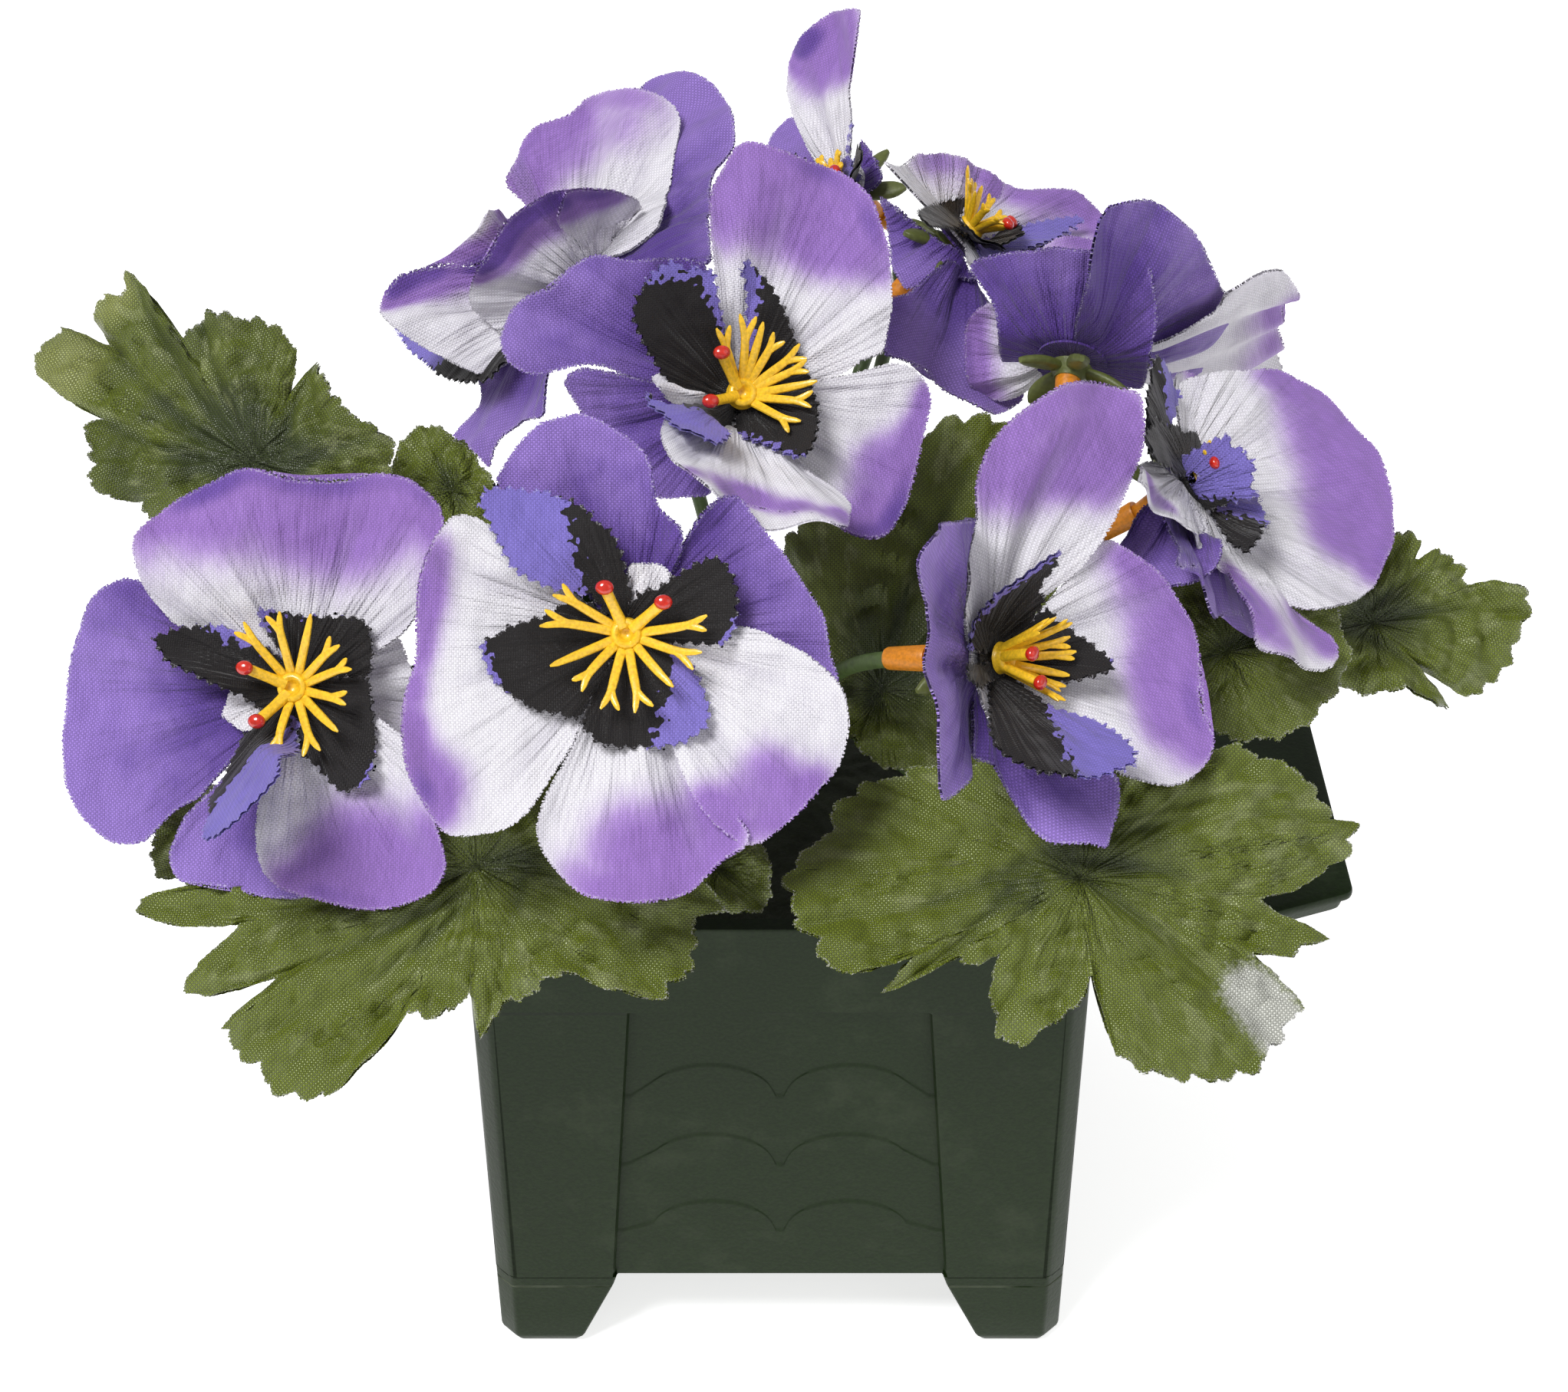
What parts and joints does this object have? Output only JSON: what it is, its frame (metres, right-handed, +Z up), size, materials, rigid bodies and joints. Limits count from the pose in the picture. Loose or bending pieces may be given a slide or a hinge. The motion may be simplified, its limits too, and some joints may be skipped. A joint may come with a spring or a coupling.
{
  "type": "artificial potted pansy arrangement",
  "caption": "Square footed planter with scalloped side panels, filled with foam that holds a branched plastic stem of fabric pansy flowers and fabric leaves",
  "frame": {"origin": "middle of the whole object's footprint, on the surface that it stands on", "axes": "+X is to the right of the front and along the longest extent, +Y is to the back, +Z is up"},
  "size_m": [0.25, 0.1822, 0.1983],
  "materials": {
    "planter_plastic": "satin moulded",
    "foam": "matte cellular",
    "stem_plastic": "satin moulded",
    "violet_fabric": "plain weave, dyed",
    "white_fabric": "plain weave, dyed at the margins",
    "eye_fabric": "plain weave, printed dark",
    "stamen_plastic": "satin moulded",
    "calyx_plastic": "satin moulded",
    "leaf_fabric": "satin fabric with pressed veins"
  },
  "bodies": {
    "root": {"planter_box": "planter_plastic", "floral_foam": "foam", "stem_bush": "stem_plastic", "flower_a_violet_petals": "violet_fabric", "flower_a_white_petals": "white_fabric", "flower_a_eye_petals": "eye_fabric", "flower_a_stamen_plug": "stamen_plastic", "flower_a_calyx": "calyx_plastic", "flower_b_violet_petals": "violet_fabric", "flower_b_white_petals": "white_fabric", "flower_b_eye_petals": "eye_fabric", "flower_b_stamen_plug": "stamen_plastic", "flower_b_calyx": "calyx_plastic", "flower_c_violet_petals": "violet_fabric", "flower_c_white_petals": "white_fabric", "flower_c_eye_petals": "eye_fabric", "flower_c_stamen_plug": "stamen_plastic", "flower_c_calyx": "calyx_plastic", "flower_d_violet_petals": "violet_fabric", "flower_d_white_petals": "white_fabric", "flower_d_eye_petals": "eye_fabric", "flower_d_stamen_plug": "stamen_plastic", "flower_d_calyx": "calyx_plastic", "flower_e_violet_petals": "violet_fabric", "flower_e_white_petals": "white_fabric", "flower_e_eye_petals": "eye_fabric", "flower_e_stamen_plug": "stamen_plastic", "flower_e_calyx": "calyx_plastic", "flower_f_violet_petals": "violet_fabric", "flower_f_white_petals": "white_fabric", "flower_f_eye_petals": "eye_fabric", "flower_f_stamen_plug": "stamen_plastic", "flower_f_calyx": "calyx_plastic", "flower_g_violet_petals": "violet_fabric", "flower_g_white_petals": "white_fabric", "flower_g_eye_petals": "eye_fabric", "flower_g_stamen_plug": "stamen_plastic", "flower_g_calyx": "calyx_plastic", "flower_h_violet_petals": "violet_fabric", "flower_h_white_petals": "white_fabric", "flower_h_eye_petals": "eye_fabric", "flower_h_stamen_plug": "stamen_plastic", "flower_h_calyx": "calyx_plastic", "flower_j_violet_petals": "violet_fabric", "flower_j_white_petals": "white_fabric", "flower_j_eye_petals": "eye_fabric", "flower_j_stamen_plug": "stamen_plastic", "flower_j_calyx": "calyx_plastic", "leaf_front_left": "leaf_fabric", "leaf_front_right": "leaf_fabric", "leaf_left_back": "leaf_fabric", "leaf_right": "leaf_fabric", "leaf_right_inner": "leaf_fabric", "leaf_centre": "leaf_fabric", "leaf_left_inner": "leaf_fabric", "leaf_front_middle": "leaf_fabric", "leaf_left_tip": "leaf_fabric"}
  },
  "joints": []
}
